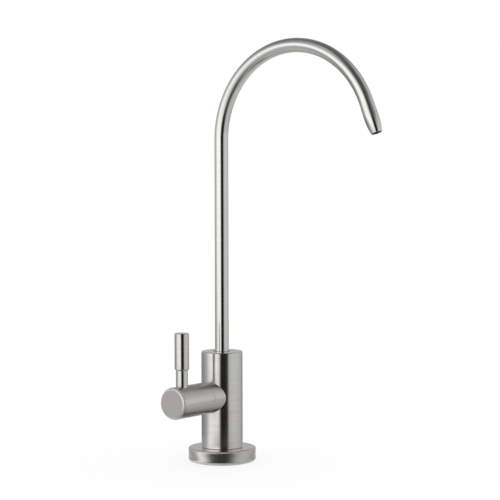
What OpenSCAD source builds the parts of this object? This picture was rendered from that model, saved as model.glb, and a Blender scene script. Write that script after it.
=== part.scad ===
// Deck-mounted drinking water faucet in brushed stainless steel.
// A swan-neck spout swivels in the top of an upright body, and a quarter-turn
// ceramic cartridge at the side is worked by a lever. Millimetres.
// Origin on the body's axis at the deck, +Z up, spout towards -Y, lever on the -X side.

/* [Base flange] */
// Diameter of the base flange
flange_d = 49; // [42:0.5:60]
// Height of the base flange
flange_h = 10; // [7:0.5:14]
// Rounding of the flange's upper edge
flange_top_r = 1.2; // [0.6:0.1:2]
// Rounding of the flange's lower edge
flange_foot_r = 2.2; // [0.6:0.1:2.4]
// Distance from the flange's edge to the gasket
gasket_margin = 3; // [2.5:0.1:4]
// Width of the gasket's ring
gasket_w = 6; // [4:0.5:7.5]
// Thickness of the gasket
gasket_t = 2; // [1.5:0.1:3]
// How far the gasket stands out below the flange
gasket_proud = 0.3; // [0.1:0.1:0.6]

/* [Body] */
// Diameter of the body
body_d = 30; // [26:0.5:36]
// Height of the valve's axis above the flange
valve_rise = 37.6; // [31:0.2:46]
// Height of the body's top above the valve's axis
head_rise = 32.4; // [27:0.2:40]
// Rounding of the body's upper edge
body_edge_r = 0.8; // [0.4:0.1:1.5]
// Chamfer at the body's foot
body_foot_c = 0.4; // [0.2:0.1:0.8]
// Width of the ledge that stands on the flange
foot_ledge = 5; // [3.5:0.1:6]
// How far the foot spigot stops short of the flange's underside
spigot_recess = 0.5; // [0.3:0.1:3]
// Core diameter of the inlet thread, M12 with 1 mm pitch
inlet_d = 10.92; // [8:0.02:14]
// Depth of the inlet thread
inlet_l = 14; // [10:0.5:18]
// Diameter of the inlet passage
inlet_passage_d = 4.5; // [3:0.1:5.5]
// Diameter of the outlet passage
outlet_passage_d = 5; // [3:0.1:6]

/* [Spout] */
// Outer diameter of the spout tube
tube_d = 10; // [8:0.1:12]
// Wall of the spout tube
tube_wall = 1; // [0.6:0.05:1.3]
// Straight rise of the tube above the body
riser_l = 153.4; // [100:0.2:220]
// Radius of the swan neck, to the tube's middle
bend_r = 65.4; // [45:0.2:90]
// Angle through which the tube is bent
bend_sweep = 158; // [120:1:180]
// Length of the straight nozzle after the bend
nozzle_l = 22.5; // [16:0.5:35]
// Length of the nozzle's rounded taper
taper_l = 12; // [9:0.5:15]
// How much the nozzle swells before its taper, on the radius
nozzle_swell = 0.25; // [0:0.05:0.6]
// Outer diameter at the mouth
mouth_d = 7.6; // [6:0.1:7.9]
// Wall at the mouth
mouth_wall = 0.5; // [0.3:0.05:0.8]

/* [Spout swivel] */
// Wall of the guide bush
bush_wall = 1.2; // [0.8:0.1:1.8]
// Length of the guide bush
bush_l = 4.2; // [3:0.1:5.5]
// How far the guide bush lies below the body's top
bush_sunk = 0.3; // [0.1:0.1:0.6]
// Distance from the guide bush to the tube's end
tube_past_bush = 1; // [0.5:0.1:2]
// Wall left under the ring grooves of the ferrule
ferrule_wall = 1; // [0.6:0.1:1.2]
// Length of the ferrule's spigot in the tube
ferrule_spigot_l = 6; // [4:0.5:9]
// Width of the lands between the ferrule's grooves
land_w = 0.8; // [0.5:0.1:1]
// Wall between the spout socket and the valve chamber
socket_floor = 2.4; // [1.5:0.1:3.5]
// Thickness of the sealing rings of the spout
spout_ring_t = 1.5; // [1.2:0.1:1.9]
// Thread diameter of the spout screw and the handle screw
screw_d = 4; // [3:0.1:5]
// Diameter of the spout screw's dog point
dog_d = 1.8; // [1.2:0.1:2.2]
// How far the dog point reaches into the ferrule's groove
dog_reach = 0.7; // [0.4:0.05:0.9]

/* [Valve housing] */
// Diameter of the side cylinder, housing and handle hub alike
side_d = 22.8; // [19:0.2:27]
// Length of the fixed housing in front of the body
housing_l = 7; // [5.5:0.5:10]
// Wall of the housing round the cartridge's thread
housing_wall = 2.94; // [2.3:0.02:3.6]
// Step from the thread down to the sealing land
thread_step = 0.46; // [0.3:0.02:0.6]
// Width of the saddle ring that meets the body
saddle_w = 1.9; // [1.3:0.1:2.3]
// Depth of the housing's spigot in the body
housing_spigot_l = 5; // [4:0.1:6]
// Chamfer at the seam between housing and hub
seam_c = 0.1; // [0.05:0.05:0.5]
// How far the valve seat lies past the body's axis
seat_past_axis = 1.5; // [0.5:0.1:2.5]
// Diameter of the hole in the valve seat
seat_hole_d = 6.4; // [4.8:0.1:7]
// How far the seat hole reaches past the seat
seat_hole_l = 8.5; // [7:0.1:9]
// Room round the cartridge in the valve chamber
chamber_gap = 0.9; // [0.5:0.05:1.1]

/* [Cartridge] */
// Thickness of the seat seal
seal_t = 3.5; // [3:0.1:4.2]
// How far the seat seal stands out of the cartridge
seal_out = 1.8; // [1:0.1:2.2]
// Thickness of each ceramic disc
disc_t = 2.5; // [2:0.1:3]
// Angle of each port in the discs
port_sweep = 70; // [50:1:78]
// Inner radius of the ports
port_r = 2; // [1.5:0.1:2.6]
// Width of the discs' sealing rim outside the ports
disc_rim = 1; // [0.8:0.1:1.4]
// Distance from the moving disc to the spindle's head
fork_l = 2.5; // [2:0.1:3]
// Depth of the fork's tangs in the moving disc
tang_depth = 1.1; // [0.8:0.1:1.4]
// Width of the fork's tangs
tang_w = 3; // [2:0.1:3.6]
// Thickness of the spindle's head
head_t = 2; // [1.5:0.1:2.5]
// Thickness of the thrust washer
washer_t = 0.8; // [0.5:0.1:1.1]
// Wall of the cartridge round the discs
cartridge_wall = 1.4; // [1.1:0.05:1.7]
// Quarter turn of the handle
turn = 90; // [80:1:95]
// Angle taken by the spindle's stop lug
lug_sweep = 24; // [18:1:30]
// Diameter of the spindle
spindle_d = 8; // [6.6:0.1:9.6]
// Thickness of the sealing rings on the spindle
spindle_ring_t = 1.2; // [1:0.05:1.5]
// Thickness of the cartridge's sealing ring
cartridge_ring_t = 1.2; // [1:0.05:1.5]
// Thickness of the cartridge's collar
collar_t = 1; // [0.7:0.1:1.5]
// Length of the cartridge's hexagon
hex_l = 4; // [3:0.1:5]
// Length of the cartridge's nose
nose_l = 1.5; // [1:0.1:2.5]
// Wall of the cartridge's nose
nose_wall = 1.8; // [1.2:0.1:2.2]
// Thickness of the circlip
clip_t = 0.8; // [0.6:0.05:1]
// Length of the spindle's spline
spline_l = 10; // [8:0.5:12]
// Number of teeth on the spline
spline_teeth = 20; // [16:1:24]
// Height of the spline's teeth
tooth_h = 0.45; // [0.3:0.05:0.6]

/* [Handle] */
// Length of the handle hub
hub_l = 33.95; // [28:0.05:42]
// Running gap between housing and hub
hub_gap = 0.1; // [0.05:0.05:0.4]
// Wall of the hub's open end
hub_wall = 1.6; // [1.2:0.1:2]
// Rounding of the hub's end edge
hub_edge_r = 2; // [0.8:0.1:2.4]
// Distance from the hub's end to the lever's axis
lever_inset = 10.8; // [8:0.1:12.5]
// Depth of the spot face under the lever, below the hub's side
spot_depth = 0.6; // [0.3:0.1:1]
// Diameter of the lever's thread
stud_d = 6; // [4.8:0.1:7.2]
// Length of the lever's thread
stud_l = 5; // [4:0.1:5.5]
// Diameter of the lever's neck
neck_d = 8.4; // [7.4:0.1:10]
// Height of the grip's foot above the valve's axis
grip_foot = 22.8; // [18:0.2:28]
// Diameter of the lever's grip
grip_d = 10.3; // [10.2:0.1:14]
// Length of the lever's grip
grip_l = 26.4; // [18:0.2:36]
// Rounding of the grip's top edge
grip_edge_r = 0.8; // [0.4:0.1:1.5]

/* [Hidden] */
$fn = 96;

// Clearances and other small fixed values
run_fit = 0.05;       // radial, shaft in its bearing
socket_fit = 0.1;     // radial, ferrule in the spout socket
seat_fit = 0.02;      // radial, pieces that are pressed or screwed together
ring_fit = 0.02;      // radial, sealing rings against the wall that they seal on
ring_room = 0.2;      // each side of a sealing ring in its groove
groove_fit = 0.05;    // radial, under a sealing ring in its groove
ring_land = 0.9;      // land on each side of the cartridge's ring groove
disc_fit = 0.1;       // radial, discs and spindle head in the cartridge
lug_in = 0.4;         // radial, lugs inside the cartridge's outside
lug_play = 2;         // degrees, fixed disc's lugs in the slots
slot_room = 0.1;      // slots past the thrust washer's foot
tang_share = 0.55;    // length of the fork's tangs, of the disc's sealing width
seal_clear = 0.3;     // radial, seal's hole round the seat's hole
outlet_over = 0.7;    // lower end of the outlet passage above the discs' bore
thread_relief = 0.3;  // undercut at the inner end of the cartridge's thread
hub_room = 0.5;       // radial, cartridge's collar in the hub
hex_in = 0.3;         // hexagon's corners inside the collar
flange_fit = 0.1;     // radial, body's spigot in the flange
clip_fit = 0.05;      // circlip in its groove, each side
clip_w = 1.6;         // circlip's ring above the spindle
clip_groove = 0.7;    // depth of the circlip's groove
clip_mouth = 50;      // degrees, opening of the circlip
clip_room = 1;        // hub's floor past the circlip
spline_in = 0.05;     // spline's tips inside the spindle's radius
spline_room = 0.5;    // hub's socket past the spline's end
tip_share = 0.2;      // half of a spline tooth's tip, of the pitch
root_share = 0.3;     // from a tooth's middle to the root, of the pitch
screw_tip_fit = 0.05; // handle screw's tip above the spindle's radius
screw_sunk = 0.5;     // spout screw's head below the body's surface
grub_sunk = 0.9;      // handle screw's head below the hub's surface
key_depth = 2.5;      // key holes in the screws
dog_room = 0.2;       // groove's floor past the dog point
dog_root = 0.5;       // screw's thread stops short of the spout socket
stud_room = 0.2;      // hub's hole past the lever's thread
sharp = 0.01;         // stands for a rounding on an edge that is left sharp
root_lap = 0.5;       // overlap of two forms of one piece
stop_room = 0.5;      // degrees left at each end of the handle's turn
ferrule_lift = 0.1;   // ferrule above the socket's floor
nozzle_lap = 0.5;     // overlap of the nozzle's foot and the bend's end
lap_step = 0.02;      // radial, nozzle's foot over the bend
eps = 1;              // overshoot of cuts past open faces
tube_fn = 48;         // facets round the tube
bend_fn = 120;        // facets of a full turn of the bend
taper_fn = 240;       // facets of a full turn of the nozzle's taper
ring_fn = 32;         // facets round a sealing ring's section

// Heights of body and flange
body_r = body_d / 2;
flange_r = flange_d / 2;
flange_z = gasket_proud;
foot_z = flange_z + flange_h;
valve_z = foot_z + valve_rise;
top_z = valve_z + head_rise;
spigot_r = body_r - foot_ledge;
spigot_z = flange_z + spigot_recess;
gasket_r = flange_r - gasket_margin;
inlet_r = inlet_d / 2;
inlet_top_z = spigot_z + inlet_l;

// Side cylinder, from its outside in
side_r = side_d / 2;
thread_r = side_r - housing_wall;
land_r = thread_r - thread_step;
barrel_r = land_r - disc_fit;
chamber_r = barrel_r + chamber_gap;
housing_spigot_r = side_r - saddle_w;
disc_bore_r = barrel_r - cartridge_wall;
disc_r = disc_bore_r - disc_fit;
lug_r = barrel_r - lug_in;
spindle_r = spindle_d / 2;
spindle_bore_r = spindle_r + run_fit;
hub_bore_r = side_r - hub_wall;
collar_r = hub_bore_r - hub_room;
hex_r = collar_r - hex_in;
nose_r = spindle_bore_r + nose_wall;
clip_r = spindle_r + clip_w;
clip_bore_r = spindle_r - clip_groove;

// Stations along the side cylinder, measured outwards from the body's axis
seat_u = -seat_past_axis;
cartridge_u = seat_u + seal_out;
fixed_disc_u = seat_u + seal_t;
moving_disc_u = fixed_disc_u + disc_t;
fork_u = moving_disc_u + disc_t;
head_u = fork_u + fork_l;
washer_u = head_u + head_t;
step_u = washer_u + washer_t;
cartridge_ring_u = step_u + ring_land;
cartridge_ring_w = cartridge_ring_t + 2 * ring_room;
thread_u = cartridge_ring_u + cartridge_ring_w + ring_land;
thread_foot_u = thread_u + thread_relief;
housing_root_u = body_r / 3;
housing_spigot_u = body_r - housing_spigot_l;
housing_end_u = body_r + housing_l;
hex_u = housing_end_u + collar_t;
nose_u = hex_u + hex_l;
clip_u = nose_u + nose_l + clip_fit;
hub_floor_u = clip_u + clip_t + clip_room;
hub_u = housing_end_u + hub_gap;
hub_end_u = hub_u + hub_l;
lever_u = hub_end_u - lever_inset;
handle_screw_u = hub_floor_u + spline_l / 2;
spindle_ring_w = spindle_ring_t + 2 * ring_room;
spindle_ring_inner_u = step_u + land_w;
spindle_ring_outer_u = spindle_ring_inner_u + spindle_ring_w + land_w;
slot_sweep = turn + lug_sweep + 2 * stop_room;
slot_end_u = washer_u + slot_room;
outlet_low_z = valve_z + disc_bore_r + outlet_over;

// Spout and its swivel, depths measured down from the body's top
tube_r = tube_d / 2;
bore_r = tube_r - tube_wall;
mouth_r = mouth_d / 2;
bend_z = top_z + riser_l;
socket_r = tube_r + socket_fit;
bush_r = tube_r + bush_wall;
bush_z = top_z - bush_sunk - bush_l;
tube_z = bush_z - tube_past_bush;
socket_z = valve_z + chamber_r + socket_floor;
ferrule_z = socket_z + ferrule_lift;
dog_groove_w = dog_d + 2 * ring_room;
dog_z = tube_z - land_w - dog_groove_w / 2;
dog_groove_r = tube_r - dog_reach - dog_room;
spout_ring_w = spout_ring_t + 2 * ring_room;
ring_upper_z = dog_z - dog_groove_w / 2 - land_w - spout_ring_w / 2;
ring_lower_z = ring_upper_z - land_w - spout_ring_w;
spout_ring_r = socket_r - ring_fit;
spout_groove_r = spout_ring_r - spout_ring_t - groove_fit;
ferrule_bore_r = spout_groove_r - ferrule_wall;
taper_z = nozzle_l - taper_l;
swell_r = tube_r + nozzle_swell;

// Lever
neck_r = neck_d / 2;
grip_r = grip_d / 2;
stud_r = stud_d / 2;
spot_r = neck_r + run_fit;
spot_h = sqrt(side_r * side_r - spot_r * spot_r) - spot_depth;
grip_step = grip_r - neck_r;
grip_top = grip_foot + grip_l;

steel = [0.74, 0.74, 0.72];
brass = [0.80, 0.66, 0.38];
rubber = [0.12, 0.12, 0.13];
plastic = [0.22, 0.22, 0.24];
ceramic = [0.95, 0.94, 0.90];

// Puts a shape drawn on +Z onto the side cylinder: +Z runs outwards along -X, and +X up.
module on_valve(u = 0) translate([0, 0, valve_z]) rotate([0, -90, 0]) translate([0, 0, u]) children();

// Half profile of a turned disc with rounded upper and lower edges.
module rounded_profile(r, h, top_r, foot_r) {
    difference() {
        square([r, h]);
        translate([r - top_r, h - top_r]) difference() {
            square(top_r + eps);
            circle(top_r);
        }
        translate([r - foot_r, foot_r]) difference() {
            translate([0, -foot_r - eps]) square(foot_r + eps);
            circle(foot_r);
        }
    }
}

// Wedge of a circle, symmetrical about +X, for sweeps under 180 degrees.
module wedge(r, sweep) {
    far = 2 * r / cos(sweep / 4);
    intersection() {
        circle(r);
        polygon([[0, 0], for (a = [-1, 0, 1]) far * [cos(a * sweep / 2), sin(a * sweep / 2)]]);
    }
}

// The same shape twice, half a turn apart.
module twice() for (a = [0, 180]) rotate(a) children();

// Sealing ring that reaches out to radius r, with its middle at height 0.
module o_ring(r, t) rotate_extrude() translate([r - t / 2, 0]) circle(t / 2, $fn = ring_fn);

// Hexagon key hole at the upper end of a grub screw, half the screw's diameter across its flats.
module key_hole() translate([0, 0, -key_depth])
    cylinder(r = screw_d / 4 / cos(30), h = key_depth + eps, $fn = 6);

module flange_profile() {
    difference() {
        translate([0, flange_z]) rounded_profile(flange_r, flange_h, flange_top_r, flange_foot_r);
        translate([0, flange_z - eps]) square([spigot_r + flange_fit, flange_h + 2 * eps]);
        translate([gasket_r - gasket_w, flange_z - eps]) square([gasket_w, gasket_t - gasket_proud + eps]);
    }
}

module base_flange() color(steel) rotate_extrude() flange_profile();

module base_gasket() color(rubber) rotate_extrude() translate([gasket_r - gasket_w, 0])
    square([gasket_w, gasket_t]);

// Everything of the body that is turned about its own axis.
module body_profile() {
    difference() {
        union() {
            translate([0, foot_z]) difference() {
                rounded_profile(body_r, top_z - foot_z, body_edge_r, sharp);
                polygon([[body_r - body_foot_c, 0], [body_r + eps, body_foot_c + eps], [body_r + eps, -eps],
                         [body_r - body_foot_c, -eps]]);
            }
            translate([0, spigot_z]) square([spigot_r, foot_z - spigot_z + eps]);
        }
        translate([0, spigot_z - eps]) square([inlet_r, inlet_l + eps]);
        translate([0, outlet_low_z]) square([outlet_passage_d / 2, socket_z - outlet_low_z + eps]);
        translate([0, socket_z]) square([socket_r, top_z - socket_z + eps]);
        translate([0, bush_z]) square([bush_r + seat_fit, top_z - bush_z + eps]);
    }
}

// Slanting drill from the top of the inlet thread to the hole behind the valve seat.
module inlet_passage() {
    reach_x = seat_past_axis + seat_hole_l - seat_hole_d / 2;
    rise = valve_z - inlet_top_z;
    translate([0, 0, inlet_top_z]) rotate([0, atan2(reach_x, rise), 0]) translate([0, 0, -eps])
        cylinder(r = inlet_passage_d / 2, h = norm([reach_x, rise]) + eps);
}

module faucet_body() color(steel) difference() {
    rotate_extrude() body_profile();
    inlet_passage();
    on_valve(seat_u - seat_hole_l) cylinder(r = seat_hole_d / 2, h = seat_hole_l + eps);
    on_valve(seat_u) cylinder(r = chamber_r, h = body_r + seat_past_axis + eps);
    on_valve(housing_spigot_u) cylinder(r = housing_spigot_r + seat_fit, h = housing_spigot_l + eps);
    translate([0, 0, dog_z]) rotate([-90, 0, 0]) cylinder(r = screw_d / 2 + seat_fit, h = body_r + eps);
}

module spout_bush() color(plastic) translate([0, 0, bush_z]) difference() {
    cylinder(r = bush_r, h = bush_l);
    translate([0, 0, -eps]) cylinder(r = tube_r + run_fit, h = bush_l + 2 * eps);
}

// Dog-point grub screw, from its tip in the ferrule's groove out towards +Y.
module spout_screw() {
    tip = tube_r - dog_reach;
    shank = socket_r + dog_root;
    head = body_r - screw_sunk;
    color(steel) translate([0, 0, dog_z]) rotate([-90, 0, 0]) difference() {
        union() {
            translate([0, 0, tip]) cylinder(r = dog_d / 2, h = shank - tip);
            translate([0, 0, shank]) cylinder(r = screw_d / 2, h = head - shank);
        }
        translate([0, 0, head]) key_hole();
    }
}

// Half profile of the nozzle's outside: a slight swell, then a rounded taper to the mouth.
module nozzle_outside() {
    foot_r = tube_r + lap_step;
    drop = swell_r - mouth_r;
    arc_r = (taper_l * taper_l + drop * drop) / (2 * drop);
    polygon([[0, -nozzle_lap], [foot_r, -nozzle_lap], [foot_r, 0], [swell_r, taper_z], [0, taper_z]]);
    intersection() {
        translate([swell_r - arc_r, taper_z]) circle(arc_r, $fn = taper_fn);
        translate([0, taper_z]) square([swell_r + eps, taper_l]);
    }
}

// The nozzle stands on +Z; its foot laps the bend's end.
module nozzle() rotate_extrude($fn = tube_fn) difference() {
    nozzle_outside();
    polygon([[0, -eps], [bore_r - lap_step, -eps], [bore_r - lap_step, taper_z],
             [mouth_r - mouth_wall, nozzle_l], [mouth_r - mouth_wall, nozzle_l + eps], [0, nozzle_l + eps]]);
}

module tube_ring() difference() {
    circle(tube_r, $fn = tube_fn);
    circle(bore_r, $fn = tube_fn);
}

module spout_tube() color(steel) {
    translate([0, 0, tube_z]) linear_extrude(bend_z - tube_z) tube_ring();
    translate([0, -bend_r, bend_z]) rotate([90, 0, 90])
        rotate_extrude(angle = bend_sweep, $fn = bend_fn) translate([bend_r, 0]) tube_ring();
    translate([0, -bend_r * (1 - cos(bend_sweep)), bend_z + bend_r * sin(bend_sweep)])
        rotate([bend_sweep, 0, 0]) nozzle();
}

// Turned end of the spout: two seal grooves, one groove for the screw, spigot brazed into the tube.
module spout_ferrule() color(brass) rotate_extrude() difference() {
    union() {
        translate([0, ferrule_z]) square([tube_r, tube_z - ferrule_z]);
        translate([0, ferrule_z]) square([bore_r - seat_fit, tube_z - ferrule_z + ferrule_spigot_l]);
    }
    translate([0, ferrule_z - eps]) square([ferrule_bore_r, tube_z - ferrule_z + ferrule_spigot_l + 2 * eps]);
    translate([dog_groove_r, dog_z - dog_groove_w / 2]) square([tube_r, dog_groove_w]);
    for (z = [ring_upper_z, ring_lower_z])
        translate([spout_groove_r, z - spout_ring_w / 2]) square([tube_r, spout_ring_w]);
}

module spout_ring(z) color(rubber) translate([0, 0, z]) o_ring(spout_ring_r, spout_ring_t);

module spout_o_ring_upper() spout_ring(ring_upper_z);

module spout_o_ring_lower() spout_ring(ring_lower_z);

// Fixed end of the side cylinder: saddle against the body, spigot in the body, thread for the cartridge.
module valve_housing() color(steel) difference() {
    union() {
        difference() {
            on_valve(housing_root_u) rotate_extrude() difference() {
                square([side_r, housing_end_u - housing_root_u]);
                translate([side_r, housing_end_u - housing_root_u]) rotate(45)
                    square(seam_c * sqrt(2), center = true);
            }
            translate([0, 0, valve_z - 2 * side_r]) cylinder(r = body_r, h = 4 * side_r);
        }
        on_valve(housing_spigot_u) cylinder(r = housing_spigot_r, h = housing_spigot_l + housing_l / 2);
    }
    on_valve(housing_spigot_u - eps) cylinder(r = land_r, h = housing_end_u);
    on_valve(thread_u) cylinder(r = thread_r, h = housing_end_u);
}

// Half profile of the cartridge's outside, from its mouth to its nose.
module cartridge_outside() {
    square([barrel_r, housing_end_u - cartridge_u]);
    translate([0, thread_foot_u - cartridge_u])
        square([thread_r - seat_fit, housing_end_u - thread_foot_u]);
    translate([0, housing_end_u - cartridge_u]) square([collar_r, collar_t]);
    translate([0, housing_end_u - cartridge_u]) square([nose_r, collar_t + hex_l + nose_l]);
}

module cartridge_body() color(brass) on_valve(cartridge_u) difference() {
    union() {
        rotate_extrude() difference() {
            cartridge_outside();
            translate([land_r - cartridge_ring_t - groove_fit, cartridge_ring_u - cartridge_u])
                square([land_r, cartridge_ring_w]);
        }
        translate([0, 0, hex_u - cartridge_u]) cylinder(r = hex_r, h = hex_l, $fn = 6);
    }
    translate([0, 0, -eps]) cylinder(r = disc_bore_r, h = step_u - cartridge_u + eps);
    cylinder(r = spindle_bore_r, h = clip_u - cartridge_u + eps);
    translate([0, 0, -eps]) linear_extrude(slot_end_u - cartridge_u + eps)
        twice() wedge(2 * side_r, slot_sweep);
}

module cartridge_o_ring() color(rubber) on_valve(cartridge_ring_u + cartridge_ring_w / 2)
    o_ring(land_r - ring_fit, cartridge_ring_t);

module seat_seal() color(rubber) on_valve(seat_u) difference() {
    cylinder(r = disc_r, h = seal_t);
    translate([0, 0, -eps]) cylinder(r = seat_hole_d / 2 + seal_clear, h = seal_t + 2 * eps);
}

// The two ports that both discs have, centred on +X and -X.
module ports() twice() difference() {
    wedge(disc_r - disc_rim, port_sweep);
    circle(port_r);
}

// Disc with its ports to front and back, held against turning by lugs in the cartridge's slots.
module fixed_disc() color(ceramic) on_valve(fixed_disc_u) linear_extrude(disc_t) difference() {
    union() {
        circle(disc_r);
        twice() wedge(lug_r, slot_sweep - lug_play);
    }
    rotate(90) ports();
}

// Disc with its ports above and below while shut, and two notches for the spindle's fork.
module moving_disc() color(ceramic) on_valve(moving_disc_u) difference() {
    linear_extrude(disc_t) difference() {
        circle(disc_r);
        ports();
    }
    translate([0, 0, disc_t - tang_depth - run_fit]) linear_extrude(tang_depth + run_fit + eps)
        rotate(90) twice() translate([disc_r - tang_l() - run_fit, -tang_w / 2 - run_fit])
        square([tang_l() + eps, tang_w + 2 * run_fit]);
}

// Radial length of the fork's tangs
function tang_l() = (disc_r - port_r) * tang_share;

module thrust_washer() color(plastic) on_valve(washer_u) difference() {
    cylinder(r = disc_bore_r - disc_fit / 2, h = washer_t);
    translate([0, 0, -eps]) cylinder(r = spindle_r + disc_fit, h = washer_t + 2 * eps);
}

// Outline of the spline, a toothed circle; grow makes the hub's matching hole.
module spline_outline(grow = 0) {
    pitch = 360 / spline_teeth;
    tip = spindle_r - spline_in + grow;
    root = tip - tooth_h;
    tooth = [[tip, -tip_share], [tip, tip_share], [root, root_share], [root, 1 - root_share]];
    polygon([for (i = [0 : spline_teeth - 1], p = tooth)
        p[0] * [cos((i + p[1]) * pitch), sin((i + p[1]) * pitch)]]);
}

module spindle() color(brass) {
    on_valve(fork_u - tang_depth) linear_extrude(tang_depth + fork_l + root_lap) rotate(90) twice()
        translate([disc_r - tang_l(), -tang_w / 2]) square([tang_l() - disc_rim / 2, tang_w]);
    on_valve(head_u) linear_extrude(head_t) union() {
        circle(disc_r);
        rotate(turn / 2) wedge(lug_r, lug_sweep);
    }
    on_valve(washer_u) rotate_extrude() difference() {
        square([spindle_r, hub_floor_u - washer_u]);
        for (u = [spindle_ring_inner_u, spindle_ring_outer_u])
            translate([spindle_bore_r - spindle_ring_t - groove_fit, u - washer_u])
                square([spindle_r, spindle_ring_w]);
        translate([clip_bore_r, clip_u - clip_fit - washer_u]) square([spindle_r, clip_t + 2 * clip_fit]);
    }
    on_valve(hub_floor_u) linear_extrude(spline_l) spline_outline();
}

module spindle_ring(u) color(rubber) on_valve(u + spindle_ring_w / 2)
    o_ring(spindle_bore_r - ring_fit, spindle_ring_t);

module spindle_o_ring_inner() spindle_ring(spindle_ring_inner_u);

module spindle_o_ring_outer() spindle_ring(spindle_ring_outer_u);

module spindle_circlip() color(steel) on_valve(clip_u) linear_extrude(clip_t) difference() {
    circle(clip_r);
    circle(clip_bore_r + clip_fit / 2);
    rotate(180) wedge(2 * clip_r, clip_mouth);
}

// Cup that turns with the spindle: open end over the hexagon, splined socket, closed rounded end.
module handle_hub() color(steel) difference() {
    on_valve(hub_u) rotate_extrude() difference() {
        rounded_profile(side_r, hub_l, hub_edge_r, sharp);
        translate([side_r, 0]) rotate(45) square(seam_c * sqrt(2), center = true);
        translate([0, -eps]) square([hub_bore_r, hub_floor_u - hub_u + eps]);
    }
    on_valve(hub_floor_u - eps) linear_extrude(spline_l + spline_room + eps) spline_outline(run_fit);
    on_valve(handle_screw_u) rotate([0, -90, 0]) cylinder(r = screw_d / 2 + seat_fit, h = side_r + eps);
    on_valve(lever_u) rotate([0, 90, 0]) {
        translate([0, 0, spot_h]) cylinder(r = spot_r, h = side_r);
        translate([0, 0, spot_h - stud_l - stud_room]) cylinder(r = stud_r + seat_fit, h = side_r);
    }
}

// Grub screw under the hub, pointing up at the spline.
module handle_screw() {
    tip = spindle_r + screw_tip_fit;
    head = side_r - grub_sunk;
    color(steel) on_valve(handle_screw_u) rotate([0, -90, 0]) difference() {
        translate([0, 0, tip]) cylinder(r = screw_d / 2, h = head - tip);
        translate([0, 0, head]) key_hole();
    }
}

// Turned lever: thread in the hub, thin neck, chamfer, thicker grip with a rounded top.
module lever() color(steel) on_valve(lever_u) rotate([0, 90, 0]) rotate_extrude() {
    translate([0, spot_h - stud_l]) square([stud_r, stud_l + eps]);
    translate([0, spot_h]) square([neck_r, grip_foot - spot_h + eps]);
    polygon([[0, grip_foot], [neck_r, grip_foot], [grip_r, grip_foot + grip_step],
             [grip_r, grip_foot + grip_step + eps], [0, grip_foot + grip_step + eps]]);
    translate([0, grip_foot + grip_step]) rounded_profile(grip_r, grip_l - grip_step, grip_edge_r, sharp);
}

faucet_body();
base_flange();
base_gasket();
spout_bush();
spout_screw();
spout_tube();
spout_ferrule();
spout_o_ring_upper();
spout_o_ring_lower();
valve_housing();
cartridge_body();
cartridge_o_ring();
seat_seal();
fixed_disc();
thrust_washer();
moving_disc();
spindle();
spindle_o_ring_inner();
spindle_o_ring_outer();
spindle_circlip();
handle_hub();
handle_screw();
lever();
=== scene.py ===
import math

import bpy
import numpy as np
from mathutils import Matrix, Vector


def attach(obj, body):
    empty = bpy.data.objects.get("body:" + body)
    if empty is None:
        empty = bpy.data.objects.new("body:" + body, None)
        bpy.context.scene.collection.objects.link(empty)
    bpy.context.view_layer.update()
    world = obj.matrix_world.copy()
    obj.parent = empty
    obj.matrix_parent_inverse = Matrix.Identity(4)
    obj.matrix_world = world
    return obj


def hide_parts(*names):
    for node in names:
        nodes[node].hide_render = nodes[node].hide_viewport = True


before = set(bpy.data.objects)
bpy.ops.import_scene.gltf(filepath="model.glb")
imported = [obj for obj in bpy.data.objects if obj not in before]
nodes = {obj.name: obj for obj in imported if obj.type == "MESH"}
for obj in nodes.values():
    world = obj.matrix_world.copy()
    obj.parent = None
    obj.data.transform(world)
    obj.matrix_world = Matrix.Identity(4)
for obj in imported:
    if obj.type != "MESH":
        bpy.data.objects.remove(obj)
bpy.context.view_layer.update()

# Camera
# A long lens stands between the lever's side and the spout's side, a little lower than the spout's
# mouth, and looks slightly down. Its place, in metres, and turn were fitted to the faucet's edges.

EYE = Vector((-0.96958, -0.77886, 0.22333))
FORWARD = Vector((0.78863, 0.61233, -0.05583)).normalized()
ACROSS = Vector((0.6132, -0.78992, -0.00193))
LENS = 123.66
SENSOR = 36
NEAREST = 0.01
FARTHEST = 20


def stand(name, data):
    """Puts a camera or a mesh into the scene."""
    made = bpy.data.objects.new(name, data)
    bpy.context.scene.collection.objects.link(made)
    return made


right = (ACROSS - FORWARD * ACROSS.dot(FORWARD)).normalized()
up = right.cross(FORWARD)
camera_data = bpy.data.cameras.new("camera")
camera_data.lens = LENS
camera_data.sensor_width = SENSOR
camera_data.clip_start = NEAREST
camera_data.clip_end = FARTHEST
camera = stand("camera", camera_data)
camera.matrix_world = Matrix.Translation(EYE) @ Matrix((right, up, -FORWARD)).transposed().to_4x4()
bpy.context.scene.camera = camera
bpy.context.scene.view_settings.view_transform = "Standard"

# Studio
# White paper all round, which the camera and every matt surface see as plain white. Metal mirrors
# pale walls with a soft box left of the camera, a dark gap where the camera stands, a dim ceiling,
# and the deck.

CAMERA_TURN = math.atan2(-FORWARD.y, -FORWARD.x)
PAPER = "#ffffff"
STUDIO_GLOW = 2        # strength of what metal mirrors; the ramps hold levels as shares of it

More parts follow.
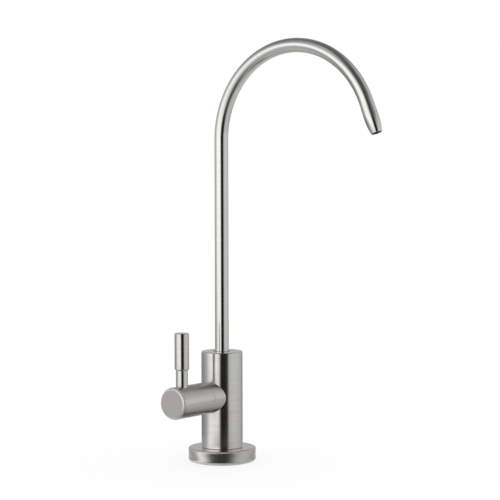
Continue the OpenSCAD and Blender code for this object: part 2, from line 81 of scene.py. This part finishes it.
# Each ring pairs an angle in degrees, from the camera's place and + to its right, with a level,
# where 1 is white.
WALL_FOOT = [
    (-180, 0.40), (-150, 0.18), (-130, 0.23), (-112, 0.28), (-96, 0.36), (-86, 0.46), (-78, 0.66),
    (-70, 0.88), (-62, 1.00), (-26, 1.02), (-16, 0.98), (-6, 0.0), (34, 0.0), (43, 0.60), (66, 0.66),
    (95, 0.61), (118, 0.54), (135, 0.44), (152, 0.26), (180, 0.40),
]
WALLS = [
    (-180, 0.52), (-140, 0.50), (-116, 0.60), (-100, 0.78), (-88, 1.04), (-78, 1.40), (-60, 1.44),
    (-45, 1.48), (-30, 1.56), (-16, 1.12), (-6, 0.0), (29, 0.0), (39, 0.66), (60, 0.84), (98, 0.80),
    (123, 0.68), (145, 0.56), (180, 0.52),
]
CEILING = [
    (-180, 0.34), (-150, 0.20), (-115, 0.24), (-90, 0.36), (-72, 0.46), (-58, 0.60), (-48, 0.55),
    (-38, 0.34), (-28, 0.14), (-14, 0.08), (32, 0.08), (52, 0.13), (76, 0.34), (100, 0.64),
    (122, 0.58), (138, 0.30), (165, 0.18), (180, 0.34),
]
CEILING_MIDDLE = [(0, 0.14)]
DECK = [
    (-180, 0.55), (-143, 0.52), (-110, 0.64), (-70, 0.52), (-52, 0.44), (-36, 0.30), (-22, 0.15),
    (2, 0.07), (16, 0.12), (30, 0.32), (45, 0.58), (83, 0.68), (131, 0.75), (155, 0.75), (180, 0.55),
]
DECK_MIDDLE = [(0, 0.52)]

# The studio is built up from the foot of the walls. Each ring here takes over between two heights,
# which are sines of the angle above the horizon.
ZONES = (
    (WALLS, -0.145, -0.06),
    (CEILING, 0.17, 0.70),
    (DECK, -0.20, -0.62),
    (CEILING_MIDDLE, 0.86, 0.96),
    (DECK_MIDDLE, -0.80, -0.92),
)


def linear(code):
    """Turns an sRGB hex colour into Blender's linear colour."""
    parts = [int(code[i:i + 2], 16) / 255 for i in (1, 3, 5)]
    return tuple(c / 12.92 if c <= 0.04045 else ((c + 0.055) / 1.055) ** 2.4 for c in parts) + (1,)


def emptied(holder):
    """Gives the world or a material an empty node tree."""
    holder.use_nodes = True
    holder.node_tree.nodes.clear()
    return holder.node_tree


def add(tree, kind, inputs=None, stops=None, **settings):
    """Adds a node with its settings; an input is a value or the socket that it is linked from.

    stops are the places and greys of a colour ramp."""
    made = tree.nodes.new(kind)
    for key, value in settings.items():
        setattr(made, key, value)
    for key, value in (inputs or {}).items():
        if isinstance(value, bpy.types.NodeSocket):
            tree.links.new(value, made.inputs[key])
        else:
            made.inputs[key].default_value = value
    if stops:
        elements = made.color_ramp.elements
        elements.remove(elements[-1])
        for i, (place, grey) in enumerate(stops):
            element = elements.new(place) if i else elements[0]
            element.position = place
            element.color = (grey, grey, grey, 1)
    return made


def turn_from_camera(tree, direction):
    """How far a direction is turned about the upright axis, as a share of a turn; the camera's is 0.5."""
    turned = add(tree, "ShaderNodeMapping",
                 {"Vector": direction, "Rotation": (0, 0, -CAMERA_TURN)}).outputs[0]
    return add(tree, "ShaderNodeTexGradient", {"Vector": turned}, gradient_type="RADIAL").outputs["Fac"]


def ring_level(tree, turn, ring):
    """The level of a ring at a share of a turn, as a share of the studio's glow."""
    stops = [(0.5 + angle / 360, level / STUDIO_GLOW) for angle, level in ring]
    return add(tree, "ShaderNodeValToRGB", {"Fac": turn}, stops).outputs[0]


world = bpy.data.worlds.new("white_studio")
bpy.context.scene.world = world
tree = emptied(world)
direction = add(tree, "ShaderNodeTexCoord").outputs["Generated"]
height = add(tree, "ShaderNodeSeparateXYZ", {0: direction}).outputs["Z"]
turn = turn_from_camera(tree, direction)
room = ring_level(tree, turn, WALL_FOOT)
for ring, start, end in ZONES:
    share = add(tree, "ShaderNodeMapRange", {"Value": height, "From Min": start, "From Max": end},
                interpolation_type="SMOOTHSTEP").outputs[0]
    room = add(tree, "ShaderNodeMix", {0: share, 6: room, 7: ring_level(tree, turn, ring)},
               data_type="RGBA").outputs[2]
white = add(tree, "ShaderNodeBackground", {"Color": linear(PAPER), "Strength": 1}).outputs[0]
mirrored = add(tree, "ShaderNodeBackground", {"Color": room, "Strength": STUDIO_GLOW}).outputs[0]
glossy = add(tree, "ShaderNodeLightPath").outputs["Is Glossy Ray"]
mixed = add(tree, "ShaderNodeMixShader", {0: glossy, 1: white, 2: mirrored}).outputs[0]
add(tree, "ShaderNodeOutputWorld", {"Surface": mixed})

# Floor
# A sheet of white paper that keeps a faint shadow of the faucet. Metal doesn't mirror it, since
# the studio's deck stands for it there.

FLOOR_CORNERS = [(-3, -3, 0), (3, -3, 0), (3, 3, 0), (-3, 3, 0)]
FLOOR_WHITE = 0.75     # share of the floor that stays white in its shadow


def flat_sheet(name, corners, material):
    """One flat face that stands in the scene."""
    mesh = bpy.data.meshes.new(name)
    mesh.from_pydata(corners, [], [tuple(range(len(corners)))])
    mesh.materials.append(material)
    return stand(name, mesh)


floor_paper = bpy.data.materials.new("white_paper_floor")
tree = emptied(floor_paper)
paper = add(tree, "ShaderNodeBsdfDiffuse", {"Color": linear(PAPER)}).outputs[0]
glow = add(tree, "ShaderNodeEmission", {"Color": linear(PAPER), "Strength": 1}).outputs[0]
seen = add(tree, "ShaderNodeLightPath").outputs["Is Camera Ray"]
whitened = add(tree, "ShaderNodeMath", {0: seen, 1: FLOOR_WHITE}, operation="MULTIPLY").outputs[0]
lit = add(tree, "ShaderNodeMixShader", {0: whitened, 1: paper, 2: glow}).outputs[0]
add(tree, "ShaderNodeOutputMaterial", {"Surface": lit})
floor = flat_sheet("floor", FLOOR_CORNERS, floor_paper)
floor.visible_glossy = False

# Deck round the flange
# The deck as the flange and the body's foot mirror it: pale on the soft box's side, dark towards
# the camera, and with a lighter line where it meets the flange. Only metal sees it. In metres.

NEAR_DECK = [
    (-180, 0.70), (-114, 0.47), (-99, 0.43), (-84, 0.48), (-74, 0.72), (-66, 1.05), (-57, 1.00),
    (-47, 0.76), (-38, 0.42), (-31, 0.20), (-25, 0.10), (-13, 0.05), (8, 0.05), (17, 0.08), (24, 0.17),
    (31, 0.28), (37, 0.41), (43, 0.49), (60, 0.60), (80, 0.55), (100, 0.46), (112, 0.42), (180, 0.70),
]
NEAR_DECK_R = 0.1
NEAR_DECK_SIDES = 64
NEAR_DECK_LIFT = 0.00005
CLOSE_R = 0.040
CLOSE_SQUEEZE = 1.20   # up to CLOSE_R the ring's pattern is narrower by this
WIDE_R = 0.065
WIDE_SQUEEZE = 0.90    # from WIDE_R on it is a little wider
FOOT_LIGHT_R = 0.025
FOOT_LIGHT_FADE = 0.004
FOOT_LIGHT = [(0, 0.6)]

near_deck_glow = bpy.data.materials.new("deck_seen_in_the_flange")
tree = emptied(near_deck_glow)
place = add(tree, "ShaderNodeTexCoord").outputs["Object"]
turn = turn_from_camera(tree, place)
radius = add(tree, "ShaderNodeVectorMath", {0: place}, operation="LENGTH").outputs["Value"]
squeeze = add(tree, "ShaderNodeMapRange",
              {"Value": radius, "From Min": CLOSE_R, "From Max": WIDE_R,
               "To Min": CLOSE_SQUEEZE, "To Max": WIDE_SQUEEZE},
              interpolation_type="SMOOTHSTEP").outputs[0]
centred = add(tree, "ShaderNodeMath", {0: turn, 1: 0.5}, operation="SUBTRACT").outputs[0]
turn = add(tree, "ShaderNodeMath", {0: centred, 1: squeeze, 2: 0.5}, operation="MULTIPLY_ADD").outputs[0]
foot = add(tree, "ShaderNodeMapRange",
           {"Value": radius, "From Min": FOOT_LIGHT_R, "From Max": FOOT_LIGHT_R + FOOT_LIGHT_FADE,
            "To Min": 1, "To Max": 0}).outputs[0]
level = add(tree, "ShaderNodeMix",
            {0: foot, 6: ring_level(tree, turn, NEAR_DECK), 7: ring_level(tree, turn, FOOT_LIGHT)},
            data_type="RGBA").outputs[2]
glow = add(tree, "ShaderNodeEmission", {"Color": level, "Strength": STUDIO_GLOW}).outputs[0]
add(tree, "ShaderNodeOutputMaterial", {"Surface": glow})
angles = np.arange(NEAR_DECK_SIDES) * math.tau / NEAR_DECK_SIDES
corners = [(NEAR_DECK_R * math.cos(a), NEAR_DECK_R * math.sin(a), NEAR_DECK_LIFT) for a in angles]
near_deck = flat_sheet("near_deck", corners, near_deck_glow)
near_deck.visible_camera = False
near_deck.visible_diffuse = False
near_deck.visible_transmission = False
near_deck.visible_shadow = False

# Base flange and body
# Both are turned from 304 stainless bar and brushed on the lathe with an abrasive belt, so the
# grain runs round the axis. The body's spigot sits in the flange, and a stud draws both down.

MM_PER_M = 1000
STEEL = "#d9d8d5"
STEEL_DARK = "#d0cecb"
GRAIN_MM = 0.2         # drawn coarser than the real belt's 0.1 mm, so that it shows
GRAIN_RUN_MM = 30      # length of a line of grain before it fades
BELT_MARK_MM = 1.1     # broader marks left by the belt's edge
PATCH_MM = 22.2        # patches of a slightly different gloss
SPECK_MM = 0.5         # even specks of a faced end
GRAIN_DEPTH_MM = 0.02
FACED = (0.97, 0.99)   # lean between which the round side's grain gives way to the specks
EVEN_FADE = 0.02       # lean over which a gloss loses its direction
TONE_MARKS = (0.7, 1.3)     # sum of grain and belt marks for the darkest and the lightest metal
GLOSS_MARKS = (1.0, 2.0)    # sum of both and the patches for the dullest and the glossiest
GLOSS_SHARE = 0.05     # share by which the roughness goes to either side
QUARTER_TURN = 0.25    # sets the gloss across the grain
NO_PAINTED_LIGHT = ((0.0, 1.0),)

# Handling polishes edges and ends, so that they are glossier than the round side.
HANDLED = ((0.80, 1.0), (0.86, 0.45), (0.94, 0.45), (0.985, 0.8))


def turned_metal(name, axis, roughness, anisotropy, grain=0.25, light=STEEL, dark=STEEL_DARK,
                 wear=HANDLED, painted_light_by_lean=NO_PAINTED_LIGHT, even_lean=None, where=None):
    """Metal brushed or turned round an axis: fine grain lines, broader marks, uneven gloss.

    wear gives shares of the roughness by lean, which goes from 0 on the round side to 1 on a faced end,
    and the next ramp gives shares of the colour by lean, a painted highlight or painted shade on edges and
    ends. From even_lean on, if given, the gloss has no direction. where names an attribute that holds each
    point's place before bending, for a tube without ends."""
    material = bpy.data.materials.new(name)
    tree = emptied(material)
    if where:
        place = add(tree, "ShaderNodeAttribute", attribute_name=where).outputs["Vector"]
        tangent = add(tree, "ShaderNodeTangent", direction_type="UV_MAP", uv_map="UVMap").outputs[0]
    else:
        place = add(tree, "ShaderNodeTexCoord").outputs["Object"]
        tangent = add(tree, "ShaderNodeTangent", direction_type="RADIAL", axis=axis).outputs[0]

    def stretched(across_mm, along_mm):
        scale = [MM_PER_M / along_mm] * 3
        scale["XYZ".index(axis)] = MM_PER_M / across_mm
        return add(tree, "ShaderNodeMapping", {"Vector": place, "Scale": scale}).outputs[0]

    lines = add(tree, "ShaderNodeTexNoise",
                {"Vector": stretched(GRAIN_MM, GRAIN_RUN_MM), "Scale": 1, "Detail": 3}).outputs["Fac"]
    belt = add(tree, "ShaderNodeTexNoise",
               {"Vector": stretched(BELT_MARK_MM, GRAIN_RUN_MM), "Scale": 1, "Detail": 2}).outputs["Fac"]
    cloud = add(tree, "ShaderNodeTexNoise",
                {"Vector": place, "Scale": MM_PER_M / PATCH_MM, "Detail": 3}).outputs["Fac"]
    marks = add(tree, "ShaderNodeMath", {0: lines, 1: belt}, operation="ADD").outputs[0]
    height = lines
    if not where:
        normal = add(tree, "ShaderNodeSeparateXYZ", {0: add(tree, "ShaderNodeTexCoord").outputs["Normal"]})
        lean = add(tree, "ShaderNodeMath", {0: normal.outputs[axis]}, operation="ABSOLUTE").outputs[0]
        faced = add(tree, "ShaderNodeMapRange",
                    {"Value": lean, "From Min": FACED[0], "From Max": FACED[1]}).outputs[0]
        specks = add(tree, "ShaderNodeTexNoise",
                     {"Vector": place, "Scale": MM_PER_M / SPECK_MM, "Detail": 2}).outputs["Fac"]
        height = add(tree, "ShaderNodeMix", {0: faced, 2: lines, 3: specks}).outputs[0]
        twice = add(tree, "ShaderNodeMath", {0: specks, 1: 2}, operation="MULTIPLY").outputs[0]
        marks = add(tree, "ShaderNodeMix", {0: faced, 2: marks, 3: twice}).outputs[0]
    tone = add(tree, "ShaderNodeMapRange",
               {"Value": marks, "From Min": TONE_MARKS[0], "From Max": TONE_MARKS[1]}).outputs[0]
    colour = add(tree, "ShaderNodeMix", {0: tone, 6: linear(dark), 7: linear(light)},
                 data_type="RGBA").outputs[2]
    gloss = add(tree, "ShaderNodeMath", {0: marks, 1: cloud}, operation="ADD").outputs[0]
    rough = add(tree, "ShaderNodeMapRange",
                {"Value": gloss, "From Min": GLOSS_MARKS[0], "From Max": GLOSS_MARKS[1],
                 "To Min": roughness * (1 + GLOSS_SHARE),
                 "To Max": roughness * (1 - GLOSS_SHARE)}).outputs[0]
    if not where:
        worn = add(tree, "ShaderNodeValToRGB", {"Fac": lean}, wear).outputs[0]
        rough = add(tree, "ShaderNodeMath", {0: rough, 1: worn}, operation="MULTIPLY").outputs[0]
        if even_lean is not None:
            anisotropy = add(tree, "ShaderNodeMapRange",
                             {"Value": lean, "From Min": even_lean, "From Max": even_lean + EVEN_FADE,
                              "To Min": anisotropy, "To Max": 0}).outputs[0]
        # Here the colour is scaled by lean: a painted highlight or painted shade on edges and ends.
        painted_light_scale = add(tree, "ShaderNodeValToRGB", {"Fac": lean}, painted_light_by_lean).outputs[0]
        colour = add(tree, "ShaderNodeVectorMath", {0: colour, "Scale": painted_light_scale},
                     operation="SCALE").outputs[0]
    bump = add(tree, "ShaderNodeBump",
               {"Height": height, "Strength": grain, "Distance": GRAIN_DEPTH_MM / MM_PER_M}).outputs[0]
    shader = add(tree, "ShaderNodeBsdfPrincipled",
                 {"Base Color": colour, "Metallic": 1, "Roughness": rough, "Anisotropic": anisotropy,
                  "Anisotropic Rotation": 0 if where else QUARTER_TURN, "Tangent": tangent,
                  "Normal": bump}).outputs[0]
    add(tree, "ShaderNodeOutputMaterial", {"Surface": shader})
    return material


def dress(material, *names):
    """Gives these CAD nodes a material."""
    for name in names:
        nodes[name].material_slots[0].material = material


# Brushed round the upright axis, the body draws each light out into a soft upright band. Its
# turned edge and plain top are smoother than its side.
body_steel = turned_metal("brushed_stainless_body", "Z", roughness=0.21, anisotropy=0.88, grain=0.04,
                          wear=((0.80, 1.0), (0.86, 0.45)))
dress(body_steel, "faucet_body")

# The flange is brushed finer, so it mirrors the deck more sharply. Its rounded edges are matt, and their
# colour is lightened into a painted highlight, a light line round the top.
flange_steel = turned_metal("brushed_stainless_flange", "Z", roughness=0.11, anisotropy=0.3, grain=0.02,
                            wear=((0.10, 1.0), (0.18, 8.0), (0.70, 8.0), (0.85, 1.2)),
                            painted_light_by_lean=((0.10, 1.0), (0.25, 1.3), (0.70, 1.3), (0.85, 1.0)))
dress(flange_steel, "base_flange")

# Base gasket and sealing rings
# Black nitrile rubber, moulded. The gasket lies in a groove under the flange, and the rings sit
# in grooves of the ferrule, the cartridge and the spindle, with one on the valve's seat.

ROUGH_SWING = 0.08     # how far the roughness goes to either side over the patches
SKIN_FINER = 6         # the skin's spots are this many times finer than the patches
SKIN_STRENGTH = 0.3


def even_finish(name, light, dark, metallic, roughness, patch_mm, skin_mm):
    """A moulded or ground finish whose colour and gloss vary a little over patches of a real size.

    skin_mm is the depth of its fine skin."""
    material = bpy.data.materials.new(name)
    tree = emptied(material)
    place = add(tree, "ShaderNodeTexCoord").outputs["Object"]
    cloud = add(tree, "ShaderNodeTexNoise",
                {"Vector": place, "Scale": MM_PER_M / patch_mm, "Detail": 4}).outputs["Fac"]
    colour = add(tree, "ShaderNodeMix", {0: cloud, 6: linear(dark), 7: linear(light)},
                 data_type="RGBA").outputs[2]
    rough = add(tree, "ShaderNodeMapRange",
                {"Value": cloud, "To Min": roughness + ROUGH_SWING,
                 "To Max": roughness - ROUGH_SWING}).outputs[0]
    skin = add(tree, "ShaderNodeTexNoise",
               {"Vector": place, "Scale": SKIN_FINER * MM_PER_M / patch_mm, "Detail": 2}).outputs["Fac"]
    bump = add(tree, "ShaderNodeBump",
               {"Height": skin, "Strength": SKIN_STRENGTH, "Distance": skin_mm / MM_PER_M}).outputs[0]
    shader = add(tree, "ShaderNodeBsdfPrincipled",
                 {"Base Color": colour, "Metallic": metallic, "Roughness": rough,
                  "Normal": bump}).outputs[0]
    add(tree, "ShaderNodeOutputMaterial", {"Surface": shader})
    return material


# Matt and nearly black, with the faint grey bloom of stored rubber.
rubber = even_finish("nitrile_rubber", "#2c2b2b", "#1d1d1f", metallic=0, roughness=0.6,
                     patch_mm=2, skin_mm=0.02)
dress(rubber, "base_gasket", "seat_seal", "cartridge_o_ring", "spout_o_ring_upper",
      "spout_o_ring_lower", "spindle_o_ring_inner", "spindle_o_ring_outer")

# Spout swivel
# The tube turns in a bush of moulded acetal. A turned brass ferrule is brazed into its foot, and
# a stainless grub screw at the back of the body reaches into the ferrule's groove.

BRASS = "#d9bd78"
BRASS_DARK = "#c9a95f"

# Dark grey plastic with a soft shine.
acetal = even_finish("moulded_acetal", "#3a3a3d", "#303033", metallic=0, roughness=0.4,
                     patch_mm=3, skin_mm=0.01)
dress(acetal, "spout_bush")

# Uncoated brass straight from the lathe: warm yellow, with fine rings that draw out the light.
upright_brass = turned_metal("turned_brass_upright", "Z", roughness=0.28, anisotropy=0.8,
                             light=BRASS, dark=BRASS_DARK)
dress(upright_brass, "spout_ferrule")

# Stock fasteners: a plain grey metal, a little darker than the brushed pieces.
fastener = even_finish("stainless_fastener", "#b9b8b5", "#9f9e9b", metallic=1, roughness=0.3,
                       patch_mm=2, skin_mm=0.005)
dress(fastener, "spout_screw")

# Spout
# A 10 mm stainless tube with a 1 mm wall. Its mouth is swaged narrower while it is straight, then
# the tube is polished and bent over a former; here it is made straight and bent the same way.

TUBE_R = 5.0
BORE_R = 4.0
TUBE_FOOT = 74.8
FERRULE_TOP = 80.9     # just above the ferrule's spigot in the bore
RISER_END = 233.7
BEND_R = 65.4
BEND_SWEEP = math.radians(158)
NOZZLE_L = 22.5
TAPER_L = 12.0
SWELL = 0.25
MOUTH_R = 3.8
MOUTH_WALL = 0.5
LIP_R = MOUTH_WALL / 2
LIP_OUT = 0.06         # the taper is this much wider at the lip's middle than at the mouth
LIP_START = 0.25       # where the lip's arc leaves the taper, in radians
LIP_POINTS = 9
RING_SIDES = 96
BEND_RINGS = 120
SWELL_RINGS = 6
TAPER_RINGS = 24
BORE_BEND_RINGS = 60
BORE_SWELL_RINGS = 4
RISER_MIDDLE = 160
RISER_RINGS = [82, 120, RISER_MIDDLE, 200]
FOOT_STEP = 0.4        # a ring this close to the foot keeps its edge crisp
BEND_STEP = 2          # a ring this close to the bend keeps the riser's shading straight
MOUTH_STEP = 1         # a ring this close to the lip does so in the bore
UV_MM = 100            # length of the profile in one unit of the UV map
CLOSING_UV = 0.01      # width in the UV map of the foot's end face


def revolved(name, profile, sides):
    """Revolves a closed (radius, height) profile in mm about Z; UV is (height, angle)."""
    count = len(profile)
    angles = np.arange(sides) * 2 * math.pi / sides
    r, z = np.array(profile, float).T
    points = np.stack([r[:, None] * np.cos(angles), r[:, None] * np.sin(angles),
                       np.repeat(z[:, None], sides, 1)], -1).reshape(-1, 3) / MM_PER_M
    faces = []
    corners = []
    length = np.concatenate([[0], np.cumsum(np.hypot(np.diff(r), np.diff(z)))]) / UV_MM
    for i in range(count):
        j = (i + 1) % count
        end = length[j] if j else length[-1] + CLOSING_UV
        for k in range(sides):
            m = (k + 1) % sides
            faces.append((i * sides + k, i * sides + m, j * sides + m, j * sides + k))
            corners += [(length[i], k / sides), (length[i], (k + 1) / sides),
                        (end, (k + 1) / sides), (end, k / sides)]
    mesh = bpy.data.meshes.new(name)
    mesh.from_pydata(points.tolist(), [], faces)
    uv = mesh.uv_layers.new(name="UVMap")
    uv.data.foreach_set("uv", np.array(corners, np.float32).ravel())
    mesh.shade_smooth()
    return stand(name, mesh)


nozzle_s = RISER_END + BEND_R * BEND_SWEEP
taper_s = nozzle_s + NOZZLE_L - TAPER_L
mouth_s = nozzle_s + NOZZLE_L
lip_s = mouth_s - LIP_R
drop = TUBE_R + SWELL - MOUTH_R
taper_arc_r = (TAPER_L ** 2 + drop ** 2) / (2 * drop)
lip_middle_r = MOUTH_R - LIP_R + LIP_OUT
mouth_bore_r = lip_middle_r - LIP_R


def outer_radius(s):
    """The tube's outer radius at a length along it: plain, a slight swell, then the rounded taper."""
    swell = SWELL * min(max((s - nozzle_s) / (taper_s - nozzle_s), 0), 1)
    into = max(s - taper_s, 0)
    return TUBE_R + swell - (taper_arc_r - math.sqrt(taper_arc_r ** 2 - into ** 2))


def bore_radius(s):
    """The bore's radius at a length along the tube; under the taper it narrows evenly to the mouth."""
    return min(BORE_R, mouth_bore_r + (BORE_R - mouth_bore_r) * (mouth_s - s) / TAPER_L)


def rings(start, end, count):
    """Lengths along the tube from start, which is left out, to end."""
    return list(np.linspace(start, end, count + 1)[1:])


outer_rings = [TUBE_FOOT, TUBE_FOOT + FOOT_STEP, *RISER_RINGS, RISER_END - BEND_STEP, RISER_END]
outer_rings += rings(RISER_END, nozzle_s, BEND_RINGS) + rings(nozzle_s, taper_s, SWELL_RINGS)
outer_rings += rings(taper_s, lip_s, TAPER_RINGS)
bore_rings = [lip_s - MOUTH_STEP, taper_s] + rings(taper_s, nozzle_s, BORE_SWELL_RINGS)
bore_rings += rings(nozzle_s, RISER_END, BORE_BEND_RINGS)
bore_rings += [RISER_END - BEND_STEP, RISER_MIDDLE, FERRULE_TOP, TUBE_FOOT]
outside = [(outer_radius(s), s) for s in outer_rings]
lip = [(lip_middle_r + LIP_R * math.cos(a), lip_s + LIP_R * math.sin(a))
       for a in np.linspace(LIP_START, math.pi, LIP_POINTS)]
bore = [(bore_radius(s), s) for s in bore_rings]
spout = revolved("spout_tube_bent", outside + lip + bore, RING_SIDES)

bend = bpy.data.node_groups.new("bend_tube", "GeometryNodeTree")
bend.is_modifier = True
sockets = {}
for label, kind in (("Geometry", "NodeSocketGeometry"), ("Riser end", "NodeSocketFloat"),
                    ("Bend radius", "NodeSocketFloat"), ("Sweep", "NodeSocketFloat"),
                    ("Finish", "NodeSocketMaterial")):
    sockets[label] = bend.interface.new_socket(label, in_out="INPUT", socket_type=kind).identifier
bend.interface.new_socket("Geometry", in_out="OUTPUT", socket_type="NodeSocketGeometry")
given = add(bend, "NodeGroupInput")
riser_end = given.outputs["Riser end"]
bend_radius = given.outputs["Bend radius"]
place = add(bend, "GeometryNodeInputPosition").outputs[0]
x, y, s = add(bend, "ShaderNodeSeparateXYZ", {0: place}).outputs
past = add(bend, "ShaderNodeMath", {0: s, 1: riser_end}, operation="SUBTRACT").outputs[0]
turn = add(bend, "ShaderNodeMath", {0: past, 1: bend_radius}, operation="DIVIDE").outputs[0]
turn = add(bend, "ShaderNodeClamp", {"Value": turn, "Min": 0, "Max": given.outputs["Sweep"]}).outputs[0]
used = add(bend, "ShaderNodeMath", {0: turn, 1: bend_radius}, operation="MULTIPLY").outputs[0]
beyond = add(bend, "ShaderNodeMath", {0: past, 1: used}, operation="SUBTRACT").outputs[0]
arm = add(bend, "ShaderNodeMath", {0: y, 1: bend_radius}, operation="ADD").outputs[0]
spoke = add(bend, "ShaderNodeCombineXYZ", {0: x, 1: arm, 2: beyond}).outputs[0]
swung = add(bend, "ShaderNodeVectorRotate", {"Vector": spoke, "Angle": turn},
            rotation_type="X_AXIS").outputs[0]
centre_y = add(bend, "ShaderNodeMath", {0: bend_radius, 1: -1}, operation="MULTIPLY").outputs[0]
centre = add(bend, "ShaderNodeCombineXYZ", {1: centre_y, 2: riser_end}).outputs[0]
bent = add(bend, "ShaderNodeVectorMath", {0: swung, 1: centre}, operation="ADD").outputs[0]
kept = add(bend, "GeometryNodeStoreNamedAttribute",
           {"Geometry": given.outputs["Geometry"], "Name": "straight", "Value": place},
           data_type="FLOAT_VECTOR", domain="POINT")
moved = add(bend, "GeometryNodeSetPosition", {"Geometry": kept.outputs[0], "Position": bent}).outputs[0]
whole = add(bend, "GeometryNodeRealizeInstances", {0: moved}).outputs[0]
coated = add(bend, "GeometryNodeSetMaterial",
             {"Geometry": whole, "Material": given.outputs["Finish"]}).outputs[0]
add(bend, "NodeGroupOutput", {0: coated})

# A satin polish: long streaks of light with soft edges follow the tube round its bend.
tube_steel = turned_metal("satin_polished_tube", "Z", roughness=0.19, anisotropy=0.7, grain=0.04,
                          light="#dbdad6", dark="#d3d2ce", where="straight")
bender = spout.modifiers.new("bend", "NODES")
bender.node_group = bend
for label, value in (("Riser end", RISER_END / MM_PER_M), ("Bend radius", BEND_R / MM_PER_M),
                     ("Sweep", BEND_SWEEP), ("Finish", tube_steel)):
    bender[sockets[label]] = value
bent_tube = spout.evaluated_get(bpy.context.evaluated_depsgraph_get())
bent_mesh = bpy.data.meshes.new_from_object(bent_tube)
spout.modifiers.remove(bender)
spout.data = bent_mesh
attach(spout, "spout")
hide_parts("spout_tube")

# Valve housing and handle hub
# Both are turned from the same stainless bar. The housing is welded to the body with its end cut
# to the body's curve, and the hub turns in front of it. Their grain runs round the side axis.

# The brushed side draws the lights out along the axis. The rounded edges are duller, and their colour is
# lightened as a painted highlight. The faced end has an even grind, which spreads the light the same way
# all round, and its colour is darkened as painted shade.
side_steel = turned_metal("brushed_stainless_round_side", "X", roughness=0.30, anisotropy=0.92,
                          grain=0.06, even_lean=0.3,
                          wear=((0.22, 1.0), (0.42, 3.2), (0.83, 3.2), (0.88, 0.6), (0.94, 0.6),
                                (0.985, 1.6)),
                          painted_light_by_lean=((0.2, 1.0), (0.4, 1.35), (0.84, 1.35), (0.90, 1.0), (0.97, 1.0),
                                 (0.99, 0.7)))
dress(side_steel, "valve_housing", "handle_hub")

# Cartridge
# A turned brass cartridge screws into the housing. Its brass spindle turns one ceramic disc on
# another against an acetal washer and is held by a circlip, and a grub screw ties the hub to it.

# The same brass as the ferrule's, with its turning marks round the side axis.
side_brass = turned_metal("turned_brass_side", "X", roughness=0.28, anisotropy=0.8,
                          light=BRASS, dark=BRASS_DARK)
dress(side_brass, "cartridge_body", "spindle")

# Lapped alumina: ivory white and as glossy as glazed china.
alumina = even_finish("lapped_alumina", "#f4f1e8", "#ece7da", metallic=0, roughness=0.15,
                      patch_mm=3, skin_mm=0.002)
dress(alumina, "fixed_disc", "moving_disc")
dress(acetal, "thrust_washer")
dress(fastener, "handle_screw", "spindle_circlip")

# Lever
# Turned from one stainless bar, with a thinner neck under the grip and a threaded end that
# screws into the hub. It is brushed round its own axis, as the body is.

# A little glossier than the body, it carries narrow bright bands of light.
lever_steel = turned_metal("fine_brushed_lever", "Z", roughness=0.2, anisotropy=0.8, grain=0.06,
                           light="#d8d7d4", dark="#cfcdca")
dress(lever_steel, "lever")
